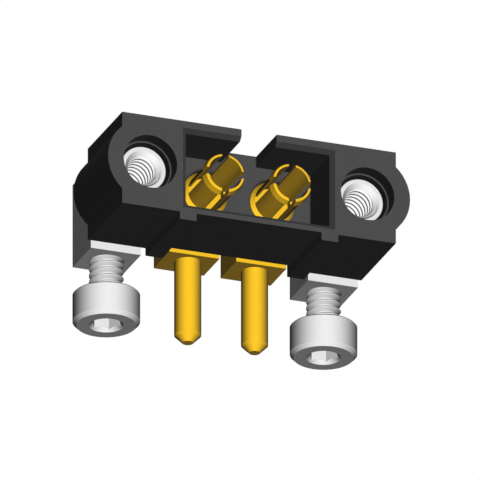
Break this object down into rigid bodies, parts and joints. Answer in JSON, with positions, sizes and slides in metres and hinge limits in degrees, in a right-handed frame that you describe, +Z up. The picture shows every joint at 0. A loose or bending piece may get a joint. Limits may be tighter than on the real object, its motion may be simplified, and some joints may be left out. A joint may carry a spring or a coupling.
{
  "type": "rectangular power connector",
  "caption": "Right-angle board power connector: moulded housing with slotted socket contacts in a keyed cavity, threaded jack sockets at its ends and cap screws from below the board.",
  "frame": {"origin": "on the board's top surface, midway between the axes of the two tail pins", "axes": "+X along the row of contacts, to the right as seen from the mating side; +Y away from the mating side; +Z up from the board"},
  "size_m": [0.018, 0.009, 0.0107],
  "materials": {
    "glass_filled_nylon": "moulded, satin",
    "gold_plate": "bright gold plate",
    "stainless_steel": "fine turned"
  },
  "bodies": {
    "connector": {"housing": "glass_filled_nylon", "contact_socket_left": "gold_plate", "contact_block_left": "gold_plate", "tail_pin_left": "gold_plate", "jack_socket_left": "stainless_steel", "mount_block_left": "stainless_steel", "contact_socket_right": "gold_plate", "contact_block_right": "gold_plate", "tail_pin_right": "gold_plate", "jack_socket_right": "stainless_steel", "mount_block_right": "stainless_steel"},
    "left_screw": {"board_screw_left": "stainless_steel"},
    "right_screw": {"board_screw_right": "stainless_steel"}
  },
  "joints": [
    {"name": "left_screw_travel", "type": "slide", "parent": "connector", "child": "left_screw", "axis": [0, 0, 1], "range_m": [-0.001, 0.00088]},
    {"name": "right_screw_travel", "type": "slide", "parent": "connector", "child": "right_screw", "axis": [0, 0, 1], "range_m": [-0.001, 0.00088]}
  ]
}
